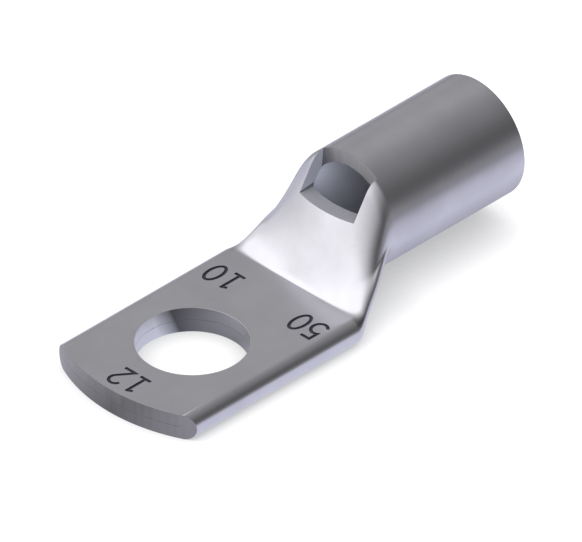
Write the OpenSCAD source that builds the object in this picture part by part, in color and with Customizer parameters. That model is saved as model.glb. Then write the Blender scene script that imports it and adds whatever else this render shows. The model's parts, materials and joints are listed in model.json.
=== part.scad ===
// Tubular cable lug, one length of tinned copper tube.
// One end of the tube stays round and takes the conductor. The other end is pressed
// flat, so that two walls lie on each other, and is then punched, trimmed and windowed.
// The frame's origin is the stud hole's axis on the contact face, with +X towards the
// barrel and +Z up through the palm.

/* [Tube] */
// Outer diameter of the tube
tube_d = 12; // [11:0.1:13.5]
// Wall of the tube
wall = 1.3; // [0.9:0.05:1.6]
// Length of the barrel that stays round
barrel_len = 16.5; // [10:0.5:40]
// Height of the barrel's underside above the contact face
barrel_lift = 1.25; // [0.5:0.05:2]

/* [Palm] */
// Width of the palm over its two rounded long edges
palm_w = 17.6; // [16.8:0.1:20]
// Diameter of the stud hole
stud_d = 10.5; // [6.4:0.1:11.5]
// From the stud hole's axis to the middle of the tip
tip_reach = 10.5; // [8.5:0.1:16]
// Radius of the curved tip, seen from above
tip_r = 17.8; // [12:0.1:40]
// From the stud hole's axis to the line where the top bends up
bend_x = 12.8; // [9:0.1:20]
// Gap left along the seam between the two pressed walls
seam_gap = 0.06; // [0.04:0.01:0.12]

/* [Transition] */
// Length over which the flat tube opens to the round barrel
ramp_len = 7.2; // [6:0.1:12]
// Length of the rounding where the top bends up from the palm
bend_ease = 0.45; // [0.2:0.05:1]
// Length of the rounding where the ramp meets the barrel
crown_ease = 1.4; // [0.6:0.1:2.4]
// Length of the slower rise of the side folds
fold_ease = 1.3; // [0.5:0.1:3]
// How far before the bend the sides start to draw in
narrow_lead = 0.3; // [0.1:0.05:1]
// Length over which the sides start to draw in
narrow_ease = 1.1; // [0.5:0.1:3]
// Angle round the barrel, from its top, at which a side fold begins
fold_from = 90; // [80:1:100]
// Angle round the barrel that a side fold takes up
fold_span = 14; // [8:1:24]
// Share of the ramp's half width that is rounded into the fold near the palm
fold_soft = 0.18; // [0:0.02:0.4]

/* [Inspection window] */
// Width of the window
window_w = 6.9; // [4.5:0.1:7.6]
// Height of the window's ledge above the contact face
window_floor = 8.75; // [7.5:0.05:9.6]
// How far the window runs past the ramp into the round barrel
window_past = 0.2; // [0:0.1:2]
// Corner radius of the window
window_r = 0.35; // [0.1:0.05:0.8]

/* [Hidden] */

palm_t = 2*wall;
tube_r = tube_d/2;
bore_r = tube_r - wall;
axis_z = barrel_lift + tube_r;
barrel_x = bend_x + ramp_len;
end_x = barrel_x + barrel_len;
narrow_x = bend_x - narrow_lead;
// Half width of the palm's flat top, between the centres of its rounded edges
flat_w = palm_w/2 - palm_t/2;
// The cavity bends one wall under the outside, so its bends lie further along
ramp_slope = atan((axis_z + tube_r - palm_t)/(ramp_len - bend_ease/2 - crown_ease/2));
cavity_shift = wall*tan(ramp_slope/2);
// The fold is soft from just before the bend to this share of the ramp's length
soft_to = 0.55;
soft_x0 = bend_x - 0.2;
soft_x1 = bend_x + soft_to*ramp_len;
// The top falls from its middle line to the side folds by this power of the way across
across_power = 1.8;
// Steps of the sections, across each stretch of a half outline
top_steps = 12;
soft_steps = 3;
fold_steps = 8;
under_steps = 9;
// Steps of the sections along the ramp, closer together at the crown
ramp_steps = 13;
crown_steps = 6;
// Each loft is this much smaller than the round end that it runs into
seat_gap = 0.01;
// How far a loft runs into the round end, and a cutter past what it cuts
lap = 0.3;
past = 1;
round_fn = 96;
corner_steps = 4;

// 0 before x0 and 1 after x1, straight in between, with the first ease_in and the
// last ease_out of the way rounded off.
function eased(x, x0, x1, ease_in, ease_out) =
    let (slope = 1/(x1 - x0 - ease_in/2 - ease_out/2))
    x <= x0 ? 0 :
    x >= x1 ? 1 :
    x < x0 + ease_in ? slope*(x - x0)*(x - x0)/(2*ease_in) :
    x > x1 - ease_out ? 1 - slope*(x1 - x)*(x1 - x)/(2*ease_out) :
    slope*(x - x0 - ease_in/2);

function mixed(a, b, f) = a*(1 - f) + b*f;

// How far the tube has opened at x: along the middle of the top, at the folds, and in width
function opened_top(x, dx) = eased(x, bend_x + dx, barrel_x + dx, bend_ease, crown_ease);
function opened_fold(x, dx) = eased(x, bend_x + dx, barrel_x + dx, fold_ease, crown_ease);
function opened_width(x, dx) = eased(x, narrow_x + dx, barrel_x + dx, narrow_ease, crown_ease);

// A point of the round tube, radius r, at an angle from its top
function on_round(r, angle) = [r*sin(angle), axis_z + r*cos(angle)];

// Points of one half of a section as [width, height]. r is the round end's radius,
// edge_r the flat end's edge radius, and dx how far the section's bends are shifted.
// a, b and c run from 0 to 1 across the top, round the fold and back under the tube.
function top_point(x, a, r, edge_r, dx) =
    let (round_pt = on_round(r, a*fold_from),
         fall = pow(a, across_power),
         f = mixed(opened_top(x, dx), opened_fold(x, dx), fall))
    [mixed(a*flat_w, round_pt[0], opened_width(x, dx)),
     mixed(palm_t/2 + edge_r, round_pt[1], f)];

function fold_point(x, b, r, edge_r, dx) =
    let (round_pt = on_round(r, fold_from + b*fold_span))
    [mixed(flat_w + edge_r*sin(b*180), round_pt[0], opened_width(x, dx)),
     mixed(palm_t/2 + edge_r*cos(b*180), round_pt[1], opened_fold(x, dx))];

function under_point(x, c, r, edge_r, dx) =
    let (from = fold_from + fold_span,
         round_pt = on_round(r, mixed(from, 180, c)))
    [mixed((1 - c)*flat_w, round_pt[0], opened_width(x, dx)),
     mixed(palm_t/2 - edge_r, round_pt[1], opened_fold(x, dx))];

// How soft the crease between top and fold is at x, from 0 for sharp
function softness(x, dx) =
    let (t = (x - soft_x0 - dx)/(soft_x1 - soft_x0))
    t <= 0 || t >= 1 ? 0 : fold_soft*sin(180*t);

// One half section, from the middle of the top round to the middle of the underside
function half_section(x, r, edge_r, dx) =
    let (soft = softness(x, dx),
         a_end = 1 - soft,
         b_start = 1.5*soft,
         p0 = top_point(x, a_end, r, edge_r, dx),
         p1 = top_point(x, 1, r, edge_r, dx),
         p2 = fold_point(x, b_start, r, edge_r, dx))
    [for (i = [0:top_steps - 1]) top_point(x, a_end*i/top_steps, r, edge_r, dx),
     for (i = [0:soft_steps - 1])
         let (t = i/soft_steps)
         p0*(1 - t)*(1 - t) + p1*2*t*(1 - t) + p2*t*t,
     for (i = [0:fold_steps - 1])
         fold_point(x, mixed(b_start, 1, i/fold_steps), r, edge_r, dx),
     for (i = [0:under_steps]) under_point(x, i/under_steps, r, edge_r, dx)];

// The whole section: the half, then its mirror image without the two middle points
function section(x, r, edge_r, dx) =
    let (half = half_section(x, r, edge_r, dx),
         n = len(half))
    [for (p = half) [x, -p[0], p[1]],
     for (i = [n - 2:-1:1]) [x, half[i][0], half[i][1]]];

// Where the sections lie along the tube, from x_tip to a lap inside the round end
function stations(x_tip, dx) =
    let (crown_x = barrel_x - crown_ease)
    [x_tip,
     narrow_x + dx,
     bend_x + dx,
     bend_x + dx + bend_ease/2,
     for (i = [0:ramp_steps - 1]) mixed(bend_x + bend_ease, crown_x, i/ramp_steps) + dx,
     for (i = [0:crown_steps]) mixed(crown_x, barrel_x, i/crown_steps) + dx,
     barrel_x + dx + lap];

// A closed skin over the sections, with each end capped from a point in its middle
module loft(x_tip, r, edge_r, dx) {
    xs = stations(x_tip, dx);
    rings = [for (x = xs) section(x, r - seat_gap, edge_r, dx)];
    n = len(rings[0]);
    last = len(rings) - 1;
    tip_mid = n*len(rings);
    end_mid = tip_mid + 1;
    polyhedron(
        points = [
            for (ring = rings) each ring,
            [xs[0], 0, palm_t/2],
            [xs[last], 0, axis_z]
        ],
        faces = [
            for (j = [0:n - 1])
                let (j2 = (j + 1)%n)
                each [[tip_mid, j, j2],
                      [end_mid, last*n + j2, last*n + j]],
            for (k = [0:last - 1], j = [0:n - 1])
                let (j2 = (j + 1)%n)
                each [[k*n + j, (k + 1)*n + j2, k*n + j2],
                      [k*n + j, (k + 1)*n + j, (k + 1)*n + j2]]
        ],
        convexity = 6);
}

module along_x(x0, x1, r) {
    translate([x0, 0, axis_z])
        rotate([0, 90, 0])
            cylinder(r = r, h = x1 - x0, $fn = round_fn);
}

// The pressed tube as it leaves the die, before it is hollowed
module outside() {
    loft(-tip_reach - past, tube_r, palm_t/2, 0);
    along_x(barrel_x, end_x, tube_r);
}

// The bore, which closes to the seam between the two walls of the palm
module cavity() {
    loft(-tip_reach - 2*past, bore_r, seam_gap/2, cavity_shift);
    along_x(barrel_x + cavity_shift, end_x + past, bore_r);
}

module stud_hole() {
    translate([0, 0, -past])
        cylinder(d = stud_d, h = palm_t + 2*past, $fn = round_fn);
}

// What the curved trim takes off the tip
module tip_trim() {
    difference() {
        translate([-tip_reach - 3*past, -palm_w, -past])
            cube([tip_r, 2*palm_w, palm_t + 2*past]);
        translate([tip_r - tip_reach, 0, -2*past])
            cylinder(r = tip_r, h = palm_t + 4*past, $fn = round_fn);
    }
}

// A straight-sided outline w wide and h high from the origin, its two far corners rounded
module two_corner_outline(w, h, r) {
    polygon([
        [-w/2, 0],
        [w/2, 0],
        for (i = [0:corner_steps])
            let (angle = 90*i/corner_steps)
            [w/2 - r + r*cos(angle), h - r + r*sin(angle)],
        for (i = [0:corner_steps])
            let (angle = 90 + 90*i/corner_steps)
            [-w/2 + r + r*cos(angle), h - r + r*sin(angle)]
    ]);
}

// The window's cutter: rounded where its sides meet its rear face and its ledge
module window() {
    rear_x = barrel_x + window_past;
    top_z = axis_z + tube_r + past;
    intersection() {
        translate([bend_x, 0, window_floor])
            rotate([0, 0, -90])
                linear_extrude(top_z - window_floor)
                    two_corner_outline(window_w, rear_x - bend_x, window_r);
        translate([bend_x - past, 0, top_z])
            rotate([0, 90, 0])
                rotate([0, 0, -90])
                    linear_extrude(rear_x - bend_x + 2*past)
                        two_corner_outline(window_w, top_z - window_floor, window_r);
    }
}

module lug() {
    color("#b9b9bf")
        difference() {
            outside();
            cavity();
            stud_hole();
            tip_trim();
            window();
        }
}

lug();
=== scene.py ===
import json
import math

import bpy
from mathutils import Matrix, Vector


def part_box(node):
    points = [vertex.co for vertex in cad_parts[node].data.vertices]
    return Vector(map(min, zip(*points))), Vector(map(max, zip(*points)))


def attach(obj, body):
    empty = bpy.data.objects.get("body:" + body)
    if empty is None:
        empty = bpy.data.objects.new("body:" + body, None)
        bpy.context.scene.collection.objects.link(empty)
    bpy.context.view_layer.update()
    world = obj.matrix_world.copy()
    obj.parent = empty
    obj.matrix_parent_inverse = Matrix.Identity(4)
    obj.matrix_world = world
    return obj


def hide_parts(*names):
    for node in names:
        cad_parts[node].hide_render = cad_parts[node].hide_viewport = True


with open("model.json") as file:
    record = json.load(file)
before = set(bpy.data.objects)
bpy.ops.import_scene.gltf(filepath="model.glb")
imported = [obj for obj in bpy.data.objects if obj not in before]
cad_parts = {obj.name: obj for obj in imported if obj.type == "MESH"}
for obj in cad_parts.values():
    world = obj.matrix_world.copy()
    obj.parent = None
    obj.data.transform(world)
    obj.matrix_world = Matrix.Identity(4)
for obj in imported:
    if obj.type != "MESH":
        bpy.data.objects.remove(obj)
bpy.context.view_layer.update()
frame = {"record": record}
bpy.ops.object.select_all(action="DESELECT")


# The drawn tube
# The lug is one length of drawn copper tube. One end stays round for the conductor. The
# other is pressed flat in a die, so that its two walls lie on each other with a hairline
# seam between them, and the die draws a ramp with a fold at each side in between.
mm = 0.001
mounts = {mount["name"]: mount for mount in frame["record"]["mounts"]}
stud = mounts["stud_hole"]
conductor = mounts["conductor_bore"]
low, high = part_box("lug")
palm_t = stud["dims"]["length_mm"]*mm
bore_r = conductor["dims"]["r_mm"]*mm
axis_z = conductor["pos_m"][2]
tube_r = high.z - axis_z
end_x = high.x
tip_x = low.x
edge_r = palm_t/2
flat_w = high.y - edge_r
half_round = 2*flat_w + math.pi*edge_r
wall = tube_r - bore_r
seam_gap = 0.03*mm
bend_x = 12.8*mm
barrel_x = 20*mm
narrow_x = 12.5*mm
bend_ease = 0.45*mm
crown_ease = 1.4*mm
fold_ease = 1.3*mm
narrow_ease = 1.1*mm
fold_from = 90
fold_span = 14
across_power = 1.8
soft_reach = 1.25*mm
soft_from = bend_x - 0.2*mm
soft_to = bend_x + 3.96*mm
soft_samples = 4
rim_r = 0.12*mm
mouth_r = 0.2*mm
past = 1*mm
ramp_slope = math.atan((high.z - palm_t)/(barrel_x - bend_x - (bend_ease + crown_ease)/2))
cavity_shift = wall*math.tan(ramp_slope/2)
points_round = 192
palm_rings, bend_rings, ramp_rings, crown_rings, barrel_rings, rim_rings = 4, 10, 30, 14, 8, 4


def mixed(a, b, f):
    return a*(1 - f) + b*f


def eased(x, x0, x1, ease_in, ease_out):
    """0 before x0 and 1 after x1, straight in between, rounded off at both ends."""
    slope = 1/(x1 - x0 - ease_in/2 - ease_out/2)
    if x <= x0:
        return 0
    if x >= x1:
        return 1
    if x < x0 + ease_in:
        return slope*(x - x0)**2/(2*ease_in)
    if x > x1 - ease_out:
        return 1 - slope*(x1 - x)**2/(2*ease_out)
    return slope*(x - x0 - ease_in/2)


def die_point(x, s, r, edge):
    """Width and height of the wall at x, s along the pressed wall from the top's middle."""
    folded = s - flat_w
    under = folded - math.pi*edge_r
    wide = eased(x, narrow_x, barrel_x, narrow_ease, crown_ease)
    open_fold = eased(x, bend_x, barrel_x, fold_ease, crown_ease)
    if folded < 0:
        across = abs(s)/flat_w
        angle = math.copysign(across*fold_from, s)
        flat = (s, palm_t/2 + edge)
        open_top = eased(x, bend_x, barrel_x, bend_ease, crown_ease)
        rise = mixed(open_top, open_fold, across**across_power)
    elif under < 0:
        turn = folded/edge_r
        angle = fold_from + turn/math.pi*fold_span
        flat = (flat_w + edge*math.sin(turn), palm_t/2 + edge*math.cos(turn))
        rise = open_fold
    else:
        angle = mixed(fold_from + fold_span, 180, under/flat_w)
        flat = (flat_w - under, palm_t/2 - edge)
        rise = open_fold
    turned = math.radians(angle)
    return (mixed(flat[0], r*math.sin(turned), wide),
            mixed(flat[1], axis_z + r*math.cos(turned), rise))


def pressed(x, s, r, edge):
    """The same, with the crease between ramp and fold worn soft near the palm."""
    along = (x - soft_from)/(soft_to - soft_from)
    reach = soft_reach*math.sin(math.pi*min(max(along, 0), 1))
    spots = [die_point(x, s + reach*i/soft_samples, r, edge)
             for i in range(-soft_samples, soft_samples + 1)]
    return (sum(spot[0] for spot in spots)/len(spots),
            sum(spot[1] for spot in spots)/len(spots))


def outside_at(x, s):
    """The outer wall, its last stretch broken by rim_r."""
    over = max(x - end_x + rim_r, 0)
    return pressed(x, s, tube_r - rim_r + math.sqrt(rim_r**2 - over**2), edge_r)


def inside_at(x, s):
    """The inner wall, its last stretch opened by mouth_r."""
    over = max(x - end_x + mouth_r, 0)
    r = bore_r + mouth_r - math.sqrt(mouth_r**2 - over**2)
    return pressed(x - cavity_shift, s, r, seam_gap/2)


def spaced(x0, x1, steps):
    return [mixed(x0, x1, i/steps) for i in range(steps)]


def stations_from(shift, radius):
    """Where the rings lie: the palm's, the bend's and barrel's moved by shift, and the rim's."""
    crown_x = barrel_x - crown_ease
    palm = spaced(tip_x - past, narrow_x, palm_rings)
    bend = spaced(narrow_x, bend_x + bend_ease, bend_rings)
    ramp = spaced(bend_x + bend_ease, crown_x, ramp_rings)
    crown = spaced(crown_x, barrel_x, crown_rings)
    barrel = spaced(barrel_x, end_x - radius - shift, barrel_rings)
    rim = [end_x - radius + radius*math.sin(math.pi/2*i/rim_rings) for i in range(rim_rings + 1)]
    return palm + [x + shift for x in bend + ramp + crown + barrel] + rim


def tube_skin(name, stations, place):
    """A tube of one ring for each station, with place(station, s) giving width and height."""
    steps = len(stations) - 1
    bpy.ops.mesh.primitive_cylinder_add(
        vertices=points_round, radius=1, depth=steps, end_fill_type="NOTHING",
        location=(steps/2, 0, 0), rotation=(0, math.pi/2, 0))
    skin = bpy.context.object
    skin.name = name
    bpy.ops.object.transform_apply()
    bpy.ops.object.mode_set(mode="EDIT")
    for ring in range(1, steps):
        bpy.ops.mesh.select_all(action="SELECT")
        bpy.ops.mesh.bisect(plane_co=(ring, 0, 0), plane_no=(1, 0, 0))
    bpy.ops.object.mode_set(mode="OBJECT")
    for vertex in skin.data.vertices:
        x = stations[round(vertex.co.x)]
        angle = math.atan2(vertex.co.y, vertex.co.z)
        width, height = place(x, abs(angle)/math.pi*half_round)
        vertex.co = (x, math.copysign(width, angle), height)
    return skin


def linear(hex_colour):
    channels = [int(hex_colour[i:i + 2], 16)/255 for i in (1, 3, 5)]
    return [c/12.92 if c <= 0.04045 else ((c + 0.055)/1.055)**2.4 for c in channels] + [1]


def add_node(tree, kind, settings=None, values=None, links=None):
    """One node, with its settings, its sockets' values and what its sockets are fed by."""
    node = tree.nodes.new(kind)
    for name, value in (settings or {}).items():
        setattr(node, name, value)
    for name, value in (values or {}).items():
        node.inputs[name].default_value = value
    for name, output in (links or {}).items():
        tree.links.new(output, node.inputs[name])
    return node


def new_material(name):
    material = bpy.data.materials.new(name)
    material.use_nodes = True
    material.node_tree.nodes.clear()
    return material, material.node_tree


# A Mix node's colour sockets, a noise pattern's middle range, and the height below which
# the inside of the tube is painted darker, as painted shade.
mix_a, mix_b, mix_result = 6, 7, 2
noise_range = {"From Min": 0.3, "From Max": 0.7}
inner_shade_top_z = 9*mm


def grain(tree, along_x, along_y, along_z, detail=3):
    """Noise in the lug's own space, with that many spots to a metre each way."""
    spot = add_node(tree, "ShaderNodeTexCoord")
    stretched = add_node(tree, "ShaderNodeMapping", None, {"Scale": (along_x, along_y, along_z)}, {
        "Vector": spot.outputs["Object"]})
    noise = add_node(tree, "ShaderNodeTexNoise", None, {"Scale": 1, "Detail": detail}, {
        "Vector": stretched.outputs["Vector"]})
    return noise.outputs["Fac"]


def tin_plating():
    """Satin electroplated tin. Faint clouds of 4 mm vary its colour and gloss, and drawing
    lines along the tube soften its reflections, 0.4 mm apart, which is coarser than real."""
    material, tree = new_material("tin_plating")
    clouds = grain(tree, 240, 240, 240)
    lines = grain(tree, 45, 2600, 2600)
    cloudy = add_node(tree, "ShaderNodeMapRange", None, {**noise_range, "To Min": 0, "To Max": 1}, {
        "Value": clouds})
    tint = add_node(tree, "ShaderNodeMix", {"data_type": "RGBA"}, {
        mix_a: linear("#b9b8be"), mix_b: linear("#c2c1c7")}, {"Factor": cloudy.outputs["Result"]})
    satin = add_node(tree, "ShaderNodeMapRange", None, {
        **noise_range, "To Min": 0.26, "To Max": 0.21}, {"Value": clouds})
    drawn = add_node(tree, "ShaderNodeBump", None, {"Strength": 1, "Distance": 0.003*mm}, {
        "Height": lines})
    tin = add_node(tree, "ShaderNodeBsdfPrincipled", None, {"Metallic": 1}, {
        "Base Color": tint.outputs[mix_result],
        "Roughness": satin.outputs["Result"],
        "Normal": drawn.outputs["Normal"]})
    add_node(tree, "ShaderNodeOutputMaterial", None, None, {"Surface": tin.outputs["BSDF"]})
    return material


def dull_tin(name, metallic, colour, deep=None):
    """Unpolished tin with a frosty grain of 0.3 mm that scatters the light. Where there is a
    deep colour, it is painted darker towards the palm, as painted shade."""
    material, tree = new_material(name)
    frost = grain(tree, 3000, 3000, 3000, 5)
    matt = add_node(tree, "ShaderNodeMapRange", None, {
        **noise_range, "To Min": 0.45, "To Max": 0.6}, {"Value": frost})
    frosted = add_node(tree, "ShaderNodeBump", None, {"Strength": 1, "Distance": 0.004*mm}, {
        "Height": frost})
    tin = add_node(tree, "ShaderNodeBsdfPrincipled", None, {
        "Metallic": metallic, "Base Color": linear(colour)}, {
        "Roughness": matt.outputs["Result"],
        "Normal": frosted.outputs["Normal"]})
    # Painted shade: the base colour darkens towards the palm, below inner_shade_top_z.
    if deep:
        spot = add_node(tree, "ShaderNodeTexCoord")
        place = add_node(tree, "ShaderNodeSeparateXYZ", None, None, {
            "Vector": spot.outputs["Object"]})
        up = add_node(tree, "ShaderNodeMapRange", None, {
            "From Min": palm_t, "From Max": inner_shade_top_z}, {"Value": place.outputs["Z"]})
        tint = add_node(tree, "ShaderNodeMix", {"data_type": "RGBA"}, {
            mix_a: linear(deep), mix_b: linear(colour)}, {"Factor": up.outputs["Result"]})
        tree.links.new(tint.outputs[mix_result], tin.inputs["Base Color"])
    add_node(tree, "ShaderNodeOutputMaterial", None, None, {"Surface": tin.outputs["BSDF"]})
    return material


lug_body = tube_skin("lug_body", stations_from(0, rim_r), outside_at)
lug_body.data.materials.append(tin_plating())
cavity = tube_skin("cavity", stations_from(cavity_shift, mouth_r), inside_at)
# Painted shade: the inside of the tube is near white up by the window and painted dark towards the
# palm.
cavity.data.materials.append(dull_tin("inner_tin", 0.2, "#eceef6", "#74757b"))
bpy.ops.object.mode_set(mode="EDIT")
bpy.ops.mesh.select_all(action="SELECT")
bpy.ops.mesh.flip_normals()
bpy.ops.object.mode_set(mode="OBJECT")
lug_body.select_set(True)
bpy.context.view_layer.objects.active = lug_body
bpy.ops.object.join()

near = 0.001*mm


def select_edges(piece, wanted):
    """Edge select mode, with only the edges for which wanted(a, b) holds."""
    bpy.ops.object.mode_set(mode="EDIT")
    bpy.ops.mesh.select_mode(type="EDGE")
    bpy.ops.mesh.select_all(action="DESELECT")
    bpy.ops.object.mode_set(mode="OBJECT")
    vertices = piece.data.vertices
    for edge in piece.data.edges:
        a, b = (vertices[i].co for i in edge.vertices)
        edge.select = wanted(a, b)
    bpy.ops.object.mode_set(mode="EDIT")


for face_x in (tip_x - past, end_x):
    select_edges(lug_body, lambda a, b: abs(a.x - face_x) < near and abs(b.x - face_x) < near)
    bpy.ops.mesh.bridge_edge_loops()
bpy.ops.mesh.select_all(action="SELECT")
bpy.ops.mesh.normals_make_consistent(inside=False)
bpy.ops.object.mode_set(mode="OBJECT")


# The size numerals
# Plain figures struck into the palm with a narrow stamp: the conductor's section, the
# stud's size and the barrel's diameter. The grooves' floors are painted nearly black, as painted
# shade.
stroke_w = 0.33*mm
stroke_depth = 0.12*mm
arc_step = 15
figure_h = 2.55*mm
figure_gap = 2*mm


def arc(x, y, rx, ry, start, end):
    """Points of an ellipse's arc, from one angle to another, either way round."""
    steps = round(abs(end - start)/arc_step)
    angles = [math.radians(mixed(start, end, i/steps)) for i in range(steps + 1)]
    return [(x + rx*math.cos(t), y + ry*math.sin(t)) for t in angles]


figures = {
    "0": [arc(0.26, 0.5, 0.26, 0.5, 0, 345)],
    "1": [[(0.29, 1), (0.29, 0)], [(0.3, 0.95), (0.09, 0.84)], [(0.04, 0), (0.54, 0)]],
    "2": [arc(0.26, 0.74, 0.25, 0.26, 165, -35) + [(0.01, 0), (0.52, 0)]],
    "5": [[(0.51, 1), (0.1, 1)] + arc(0.26, 0.32, 0.29, 0.32, 125, -145)]}


def groove_painted_shade():
    """Painted shade at the bottom of the strokes: dull, nearly black, with specks of 0.1 mm."""
    material, tree = new_material("grooves_painted_shade")
    specks = grain(tree, 9000, 9000, 9000)
    speckled = add_node(tree, "ShaderNodeMapRange", None, {
        **noise_range, "To Min": 0, "To Max": 1}, {"Value": specks})
    # Painted shade: the groove colour is nearly black.
    tint = add_node(tree, "ShaderNodeMix", {"data_type": "RGBA"}, {
        mix_a: linear("#2f3139"), mix_b: linear("#3e414b")}, {"Factor": speckled.outputs["Result"]})
    matt = add_node(tree, "ShaderNodeMapRange", None, {
        **noise_range, "To Min": 0.55, "To Max": 0.7}, {"Value": specks})
    tin = add_node(tree, "ShaderNodeBsdfPrincipled", None, {"Metallic": 0.6}, {
        "Base Color": tint.outputs[mix_result],
        "Roughness": matt.outputs["Result"]})
    add_node(tree, "ShaderNodeOutputMaterial", None, None, {"Surface": tin.outputs["BSDF"]})
    return material


def cut_away(cutter, *finishes):
    """Takes the cutter's shape off the lug, and leaves the cut faces in its finishes."""
    for finish in finishes:
        cutter.data.materials.append(finish)
    cut = lug_body.modifiers.new("cut", "BOOLEAN")
    cut.operation = "DIFFERENCE"
    cut.solver = "EXACT"
    cut.material_mode = "TRANSFER"
    cut.object = cutter
    bpy.context.view_layer.objects.active = lug_body
    bpy.ops.object.modifier_apply(modifier=cut.name)
    bpy.data.objects.remove(cutter)


def strike(figure, base_x, left_y, finish):
    """Strikes one figure into the palm's top, its head towards the tip."""
    for stroke in figures[figure]:
        n = len(stroke)
        spots = [(base_x - up*figure_h, left_y + across*figure_h) for across, up in stroke]
        heights = (palm_t - stroke_depth, palm_t + past)
        pairs = [(i, (i + 1) % n) for i in range(n if figure == "0" else n - 1)]
        mesh = bpy.data.meshes.new("stamp")
        mesh.from_pydata([(x, y, z) for z in heights for x, y in spots], [],
                         [(i, j, j + n, i + n) for i, j in pairs])
        stamp = bpy.data.objects.new("stamp", mesh)
        bpy.context.collection.objects.link(stamp)
        bpy.context.view_layer.objects.active = stamp
        thick = stamp.modifiers.new("thick", "SOLIDIFY")
        thick.thickness = stroke_w
        thick.offset = 0
        thick.use_even_offset = True
        bpy.ops.object.modifier_apply(modifier=thick.name)
        cut_away(stamp, finish)


groove_shade_tin = groove_painted_shade()
for number, base_x, left_y in (
        ("50", 10.3*mm, -7.4*mm), ("10", 10.3*mm, 3.45*mm), ("12", -7.15*mm, -1.95*mm)):
    for place, figure in enumerate(number):
        strike(figure, base_x, left_y + place*figure_gap, groove_shade_tin)


# The punched stud hole and the trimmed tip
# The flat palm is punched for the stud and its end is sheared to an arc. Both cuts go
# through the two walls together, and tumbling before plating leaves a small worn edge.
stud_r = stud["dims"]["r_mm"]*mm
tip_r = 17.8*mm
tip_sweep = 100
trimmed = 6*mm
worn_r = 0.025*mm
worn_steps = 4
spin_steps = 120
# Painted reflection on the hole's wall: the side it is bright towards, and where along it the painted
# dark and bright stops lie.
painted_bright_side = Vector((-0.85, 0.53, -0.37))
painted_dark_to, painted_light_from, painted_brightest_from = 0.485, 0.525, 0.67


def dragged_tin(name, deep, pale):
    """A cut end of the wall: dull, with the tool's upright drag marks 0.4 mm apart, in a grey painted
    darker than the plating as painted shade.
    """
    material, tree = new_material(name)
    drag = grain(tree, 2400, 2400, 160)
    streaked = add_node(tree, "ShaderNodeMapRange", None, {
        **noise_range, "To Min": 0, "To Max": 1}, {"Value": drag})
    tint = add_node(tree, "ShaderNodeMix", {"data_type": "RGBA"}, {
        mix_a: linear(deep), mix_b: linear(pale)}, {"Factor": streaked.outputs["Result"]})
    dull = add_node(tree, "ShaderNodeMapRange", None, {
        **noise_range, "To Min": 0.34, "To Max": 0.46}, {"Value": drag})
    marks = add_node(tree, "ShaderNodeBump", None, {"Strength": 1, "Distance": 0.004*mm}, {
        "Height": drag})
    tin = add_node(tree, "ShaderNodeBsdfPrincipled", None, {"Metallic": 1}, {
        "Base Color": tint.outputs[mix_result],
        "Roughness": dull.outputs["Result"],
        "Normal": marks.outputs["Normal"]})
    add_node(tree, "ShaderNodeOutputMaterial", None, None, {"Surface": tin.outputs["BSDF"]})
    return material


def hole_wall_painted_light():
    """The hole's wall, with a painted reflection: its colour goes by the side of the hole,
    painted bright on one side and dark on the other, darkest where the two meet."""
    material, tree = new_material("hole_wall_painted_light")
    drag = grain(tree, 2400, 2400, 160)
    spot = add_node(tree, "ShaderNodeTexCoord")
    aside = add_node(tree, "ShaderNodeVectorMath", {"operation": "DOT_PRODUCT"}, {
        1: painted_bright_side}, {0: spot.outputs["Object"]})
    across = add_node(tree, "ShaderNodeMapRange", None, {
        "From Min": -stud_r, "From Max": stud_r}, {"Value": aside.outputs["Value"]})
    # Painted reflection: a colour ramp by side, from painted shade to painted highlight.
    painted_sheen = add_node(tree, "ShaderNodeValToRGB", None, None, {"Fac": across.outputs["Result"]})
    stops = painted_sheen.color_ramp.elements
    stops[0].color = linear("#b3b2b4")
    stops[1].color = linear("#e4e5ea")
    stops.new(painted_dark_to).color = linear("#636265")
    stops.new(painted_light_from).color = linear("#94959a")
    stops.new(painted_brightest_from).color = linear("#e4e5ea")
    dull = add_node(tree, "ShaderNodeMapRange", None, {
        **noise_range, "To Min": 0.3, "To Max": 0.4}, {"Value": drag})
    marks = add_node(tree, "ShaderNodeBump", None, {"Strength": 1, "Distance": 0.003*mm}, {
        "Height": drag})
    tin = add_node(tree, "ShaderNodeBsdfPrincipled", None, {"Metallic": 1}, {
        "Base Color": painted_sheen.outputs["Color"],
        "Roughness": dull.outputs["Result"],
        "Normal": marks.outputs["Normal"]})
    add_node(tree, "ShaderNodeOutputMaterial", None, None, {"Surface": tin.outputs["BSDF"]})
    return material


def spun_cutter(name, profile, centre_x, degrees):
    """A closed outline of (radius, height), spun round an upright axis at centre_x."""
    first = math.pi + math.radians(degrees)/2
    corners = [(centre_x + r*math.cos(first), r*math.sin(first), z) for r, z in profile]
    sides = [(i, (i + 1) % len(corners)) for i in range(len(corners))]
    mesh = bpy.data.meshes.new(name)
    mesh.from_pydata(corners, sides, [])
    cutter = bpy.data.objects.new(name, mesh)
    bpy.context.collection.objects.link(cutter)
    bpy.ops.object.select_all(action="DESELECT")
    cutter.select_set(True)
    bpy.context.view_layer.objects.active = cutter
    bpy.ops.object.mode_set(mode="EDIT")
    bpy.ops.mesh.select_all(action="SELECT")
    bpy.ops.mesh.spin(
        steps=spin_steps, angle=math.radians(degrees), center=(centre_x, 0, 0), axis=(0, 0, 1))
    bpy.ops.mesh.select_all(action="SELECT")
    bpy.ops.mesh.remove_doubles(threshold=near)
    bpy.ops.mesh.fill_holes(sides=0)
    bpy.ops.mesh.normals_make_consistent(inside=False)
    bpy.ops.object.mode_set(mode="OBJECT")
    return cutter


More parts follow.
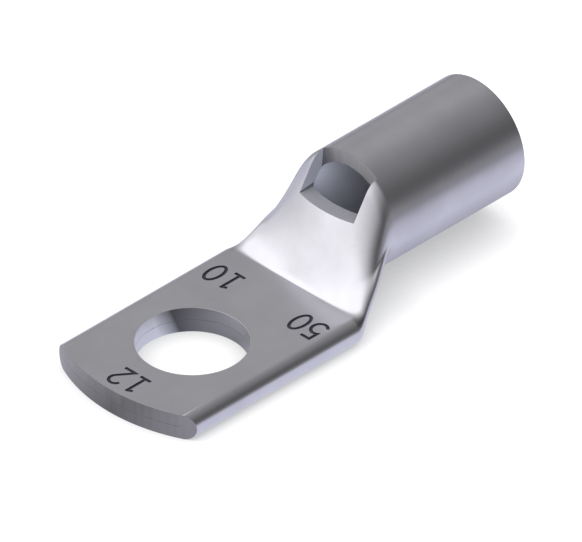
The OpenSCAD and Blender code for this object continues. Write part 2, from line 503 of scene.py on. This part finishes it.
def worn_side(radius, outward):
    """The palm's cut wall from below it to above it, worn outward at both faces."""
    turns = [math.pi/2*i/worn_steps for i in range(worn_steps + 1)]
    lower = [(radius + outward*worn_r*(1 - math.sin(turn)), worn_r*(1 - math.cos(turn)))
             for turn in turns]
    upper = [(r, palm_t - z) for r, z in reversed(lower)]
    reach = radius + outward*worn_r
    return [(reach, -past)] + lower + upper + [(reach, palm_t + past)]


hole_profile = worn_side(stud_r, 1) + [(0, palm_t + past), (0, -past)]
cut_away(spun_cutter("stud_punch", hole_profile, 0, 360), hole_wall_painted_light())
tip_profile = worn_side(tip_r, -1) + [(tip_r + trimmed, palm_t + past), (tip_r + trimmed, -past)]
# Painted shade: the tip's cut face is a darker grey than the plating. Its drag marks are real.
tip_face_painted_shade = dragged_tin("tip_face_painted_shade", "#828080", "#8d8b8a")
cut_away(spun_cutter("tip_shear", tip_profile, tip_x + tip_r, tip_sweep), tip_face_painted_shade)


# The inspection window
# A notch milled through the top of the ramp shows whether the conductor is pushed home.
# Its cutter has small corner radii, which leave wedges where the walls meet, painted dark as painted
# shade.
window_w = 6.9*mm
window_floor = 8.75*mm
window_rear = barrel_x + 0.2*mm
window_top = high.z + past
wedge_r = 0.35*mm
wedge_top = 12.1*mm
wedge_front = 16.45*mm
wedge_steps = 4
wedge_reach = wedge_r + near
square_on = 0.99

bpy.ops.object.select_all(action="DESELECT")
bpy.ops.mesh.primitive_cube_add(
    size=1,
    location=((bend_x + window_rear)/2, 0, (window_floor + window_top)/2),
    scale=(window_rear - bend_x, window_w, window_top - window_floor))
window = bpy.context.object
bpy.ops.object.transform_apply()
bpy.ops.object.mode_set(mode="EDIT")
for place, across in (((0, 0, wedge_top), (0, 0, 1)), ((wedge_front, 0, 0), (1, 0, 0))):
    bpy.ops.mesh.select_all(action="SELECT")
    bpy.ops.mesh.bisect(plane_co=place, plane_no=across)
select_edges(window, lambda a, b: abs(a.y - b.y) < near and (
    min(a.x, b.x) > window_rear - near and max(a.z, b.z) < wedge_top + near
    or max(a.z, b.z) < window_floor + near and min(a.x, b.x) > wedge_front - near))
bpy.ops.mesh.bevel(offset=wedge_r, segments=wedge_steps, affect="EDGES")
bpy.ops.object.mode_set(mode="OBJECT")
for vertex in window.data.vertices:
    x, y, z = vertex.co
    if window_w/2 - abs(y) > wedge_reach:
        continue
    side_y = math.copysign(window_w/2, y)
    if abs(z - wedge_top) < near and window_rear - x < wedge_reach:
        vertex.co = (window_rear, side_y, wedge_top)
    if abs(x - wedge_front) < near and z - window_floor < wedge_reach:
        vertex.co = (wedge_front, side_y, window_floor)
bpy.ops.object.mode_set(mode="EDIT")
bpy.ops.mesh.select_all(action="SELECT")
bpy.ops.mesh.remove_doubles(threshold=near)
bpy.ops.mesh.normals_make_consistent(inside=False)
bpy.ops.object.mode_set(mode="OBJECT")

# Faces square to x are the milled rear, to y the flanks, to z the ledge. The rest are wedges.
# Painted shade by face direction: the rear and the ledge are painted darker than the flanks, and the
# wedges darker still.
milled_painted_shade = dragged_tin("milled_painted_shade", "#9e9c9a", "#a9a8a6")
flank_tin = dull_tin("flank_tin", 0.4, "#b0b1b9")
ledge_painted_shade = dull_tin("ledge_painted_shade", 0.6, "#9b9ba0")
wedge_painted_shade = dull_tin("wedge_painted_shade", 0.6, "#66676c")
for face in window.data.polygons:
    squares = [abs(along) > square_on for along in face.normal]
    face.material_index = squares.index(True) if any(squares) else len(squares)
cut_away(window, milled_painted_shade, flank_tin, ledge_painted_shade, wedge_painted_shade)


# The finished lug
# One solid piece of copper, plated with tin all over. Its pressed and drawn walls shade
# smooth, and its cut edges and the window's faces stay crisp.
crisp_angle = 30

bpy.ops.object.select_all(action="DESELECT")
lug_body.select_set(True)
bpy.context.view_layer.objects.active = lug_body
bpy.ops.object.mode_set(mode="EDIT")
bpy.ops.mesh.select_all(action="SELECT")
bpy.ops.mesh.remove_doubles(threshold=near)
bpy.ops.object.mode_set(mode="OBJECT")
bpy.ops.object.shade_smooth_by_angle(angle=math.radians(crisp_angle))


def on_worn_edge(a, b):
    """Whether an edge lies where the flat palm meets the worn edge of the hole or the tip."""
    return all(
        min(abs(spot.z), abs(spot.z - palm_t)) < near
        and min(abs(math.hypot(spot.x, spot.y) - stud_r - worn_r),
                abs(math.hypot(spot.x - tip_x - tip_r, spot.y) - tip_r + worn_r)) < worn_r/3
        for spot in (a, b))


select_edges(lug_body, on_worn_edge)
bpy.ops.mesh.mark_sharp()
bpy.ops.object.mode_set(mode="OBJECT")
for face in lug_body.data.polygons:
    x, y, z = face.center
    if x < window_rear + near and abs(y) < window_w/2 + near and z > window_floor - near:
        face.use_smooth = False
even = lug_body.modifiers.new("even", "WEIGHTED_NORMAL")
even.keep_sharp = True
bpy.ops.object.modifier_apply(modifier=even.name)
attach(lug_body, "root")
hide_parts("lug")


# The floor
# A plain white sheet under the lug. The camera sees it white, apart from the lug's soft shadow,
# which is painted from an occlusion test. The metal sees a painted reflection: cooler, painted dim
# under the lug and fading out to the front and right.
floor_size = 3
painted_shadow_reach = 6*mm
painted_shadow_tone = 0.25
fade_reach = 45*mm
fade_left = 20*mm

bpy.ops.mesh.primitive_plane_add(size=floor_size, location=(0, 0, low.z))
floor = bpy.context.object
floor.name = "floor"


def white_sheet():
    """Matt white paper with no grain to be seen. In reflections its tone is painted by how far it
    is from the lug's axis, with painted shade under the lug, and behind the lug it fades only to the
    right of fade_left, so the ramp's left side mirrors a bright sheet and the barrel's top edge a dim
    one."""
    material, tree = new_material("white_sheet")
    paint = add_node(tree, "ShaderNodeBsdfDiffuse", None, {"Color": linear("#7f7f7f")})
    # Painted shadow: for the camera, the white is dimmed near the lug by an occlusion test, not by the
    # lamps.
    near_lug = add_node(tree, "ShaderNodeAmbientOcclusion", {"samples": 8}, {
        "Distance": painted_shadow_reach})
    shadow = add_node(tree, "ShaderNodeMapRange", None, {"To Min": painted_shadow_tone}, {
        "Value": near_lug.outputs["AO"]})
    spot = add_node(tree, "ShaderNodeTexCoord")
    place = add_node(tree, "ShaderNodeSeparateXYZ", None, None, {"Vector": spot.outputs["Object"]})
    to_the_right = add_node(tree, "ShaderNodeMath", {"operation": "MAXIMUM"}, {1: fade_left}, {
        0: place.outputs["X"]})
    aside = add_node(tree, "ShaderNodeMath", {"operation": "MINIMUM"}, None, {
        0: place.outputs["Y"], 1: to_the_right.outputs["Value"]})
    across = add_node(tree, "ShaderNodeMapRange", None, {
        "From Min": -fade_reach, "From Max": fade_reach}, {"Value": aside.outputs["Value"]})
    # Painted reflection: for the metal, bands of tone by place, painted shade under the lug, bright
    # beside it, dim further out.
    sheet = add_node(tree, "ShaderNodeValToRGB", None, None, {"Fac": across.outputs["Result"]})
    stops = sheet.color_ramp.elements
    stops[0].color = linear("#62626a")
    stops[1].color = linear("#62626a")
    stops.new(0.4).color = linear("#e2e3f6")
    stops.new(0.5).color = linear("#7c7d88")
    stops.new(0.6).color = linear("#e2e3f6")
    path = add_node(tree, "ShaderNodeLightPath")
    shown = add_node(tree, "ShaderNodeMix", {"data_type": "RGBA"}, None, {
        "Factor": path.outputs["Is Glossy Ray"],
        mix_a: shadow.outputs["Result"], mix_b: sheet.outputs["Color"]})
    glow = add_node(tree, "ShaderNodeEmission", None, {"Strength": 1}, {
        "Color": shown.outputs[mix_result]})
    seen = add_node(tree, "ShaderNodeMath", {"operation": "MAXIMUM"}, None, {
        0: path.outputs["Is Camera Ray"], 1: path.outputs["Is Glossy Ray"]})
    lit = add_node(tree, "ShaderNodeAddShader", None, None, {
        0: paint.outputs["BSDF"], 1: glow.outputs["Emission"]})
    mix = add_node(tree, "ShaderNodeMixShader", None, None, {
        0: seen.outputs["Value"], 1: paint.outputs["BSDF"], 2: lit.outputs["Shader"]})
    add_node(tree, "ShaderNodeOutputMaterial", None, None, {"Surface": mix.outputs["Shader"]})
    return material


floor.data.materials.append(white_sheet())


# The light
# A soft studio. Patches of light fade into each other round the lug, up to a cap, and the
# brightest is at the back left, where the ramp shows it. The front right stays dim, with a
# small fill lamp that reaches the dull tin inside the window.
patch_power = 12
brightest = 1.9
patches = ((142, 44, 3.8), (207, 26, 0.66), (88, -4, 1.2), (56, 47, 0.53), (-56, -36, 1.3),
           (-80, 53, 0.38), (205, 80, 1))
fill_from = Vector((-0.4, -0.8, 0.45)).normalized()
fill_away = 0.5
fill_size = 0.3
fill_watts = 2.2


def studio_dome():
    """Each patch has an azimuth and an elevation in degrees and a strength."""
    world = bpy.data.worlds.new("studio_dome")
    world.use_nodes = True
    tree = world.node_tree
    tree.nodes.clear()
    spot = add_node(tree, "ShaderNodeTexCoord")
    total = add_node(tree, "ShaderNodeMath", {"operation": "ADD"}, {0: 0, 1: 0})
    for azimuth, elevation, strength in patches:
        turn, rise = math.radians(azimuth), math.radians(elevation)
        half = Vector((math.cos(turn)*math.cos(rise), math.sin(turn)*math.cos(rise), math.sin(rise)))/2
        towards = add_node(tree, "ShaderNodeVectorMath", {"operation": "DOT_PRODUCT"}, {
            1: half}, {0: spot.outputs["Generated"]})
        share = add_node(tree, "ShaderNodeMath", {"operation": "ADD", "use_clamp": True}, {1: 0.5}, {
            0: towards.outputs["Value"]})
        patch = add_node(tree, "ShaderNodeMath", {"operation": "POWER"}, {1: patch_power}, {
            0: share.outputs["Value"]})
        total = add_node(tree, "ShaderNodeMath", {"operation": "MULTIPLY_ADD"}, {1: strength}, {
            0: patch.outputs["Value"], 2: total.outputs["Value"]})
    capped = add_node(tree, "ShaderNodeMath", {"operation": "MINIMUM"}, {1: brightest}, {
        0: total.outputs["Value"]})
    light = add_node(tree, "ShaderNodeBackground", None, {"Color": linear("#ffffff")}, {
        "Strength": capped.outputs["Value"]})
    white = add_node(tree, "ShaderNodeBackground", None, {
        "Color": linear("#ffffff"), "Strength": 1})
    path = add_node(tree, "ShaderNodeLightPath")
    mix = add_node(tree, "ShaderNodeMixShader", None, None, {
        0: path.outputs["Is Camera Ray"],
        1: light.outputs["Background"], 2: white.outputs["Background"]})
    add_node(tree, "ShaderNodeOutputWorld", None, None, {"Surface": mix.outputs["Shader"]})
    return world


bpy.context.scene.world = studio_dome()

bpy.ops.object.light_add(type="AREA", location=fill_from*fill_away)
fill = bpy.context.object
fill.name = "fill"
fill.rotation_euler = fill_from.to_track_quat("Z", "Y").to_euler()
fill.data.size = fill_size
fill.data.energy = fill_watts
fill.data.color = linear("#eef0ff")[:3]
fill.visible_glossy = False


# The camera
# An isometric view from above the tip, with no perspective, as in the photograph. It aims
# at the place on the lug that is in the middle of the picture.
px_per_mm = 11.084
picture_w = 582
view_from = Vector((-1, -1, 1)).normalized()
camera_away = 0.5
aim = Vector((12.608, 0, 4.078))*mm

bpy.ops.object.camera_add(location=aim + view_from*camera_away)
camera = bpy.context.object
camera.rotation_euler = view_from.to_track_quat("Z", "Y").to_euler()
camera.data.type = "ORTHO"
camera.data.ortho_scale = picture_w/px_per_mm*mm
bpy.context.scene.camera = camera
bpy.context.scene.view_settings.view_transform = "Standard"
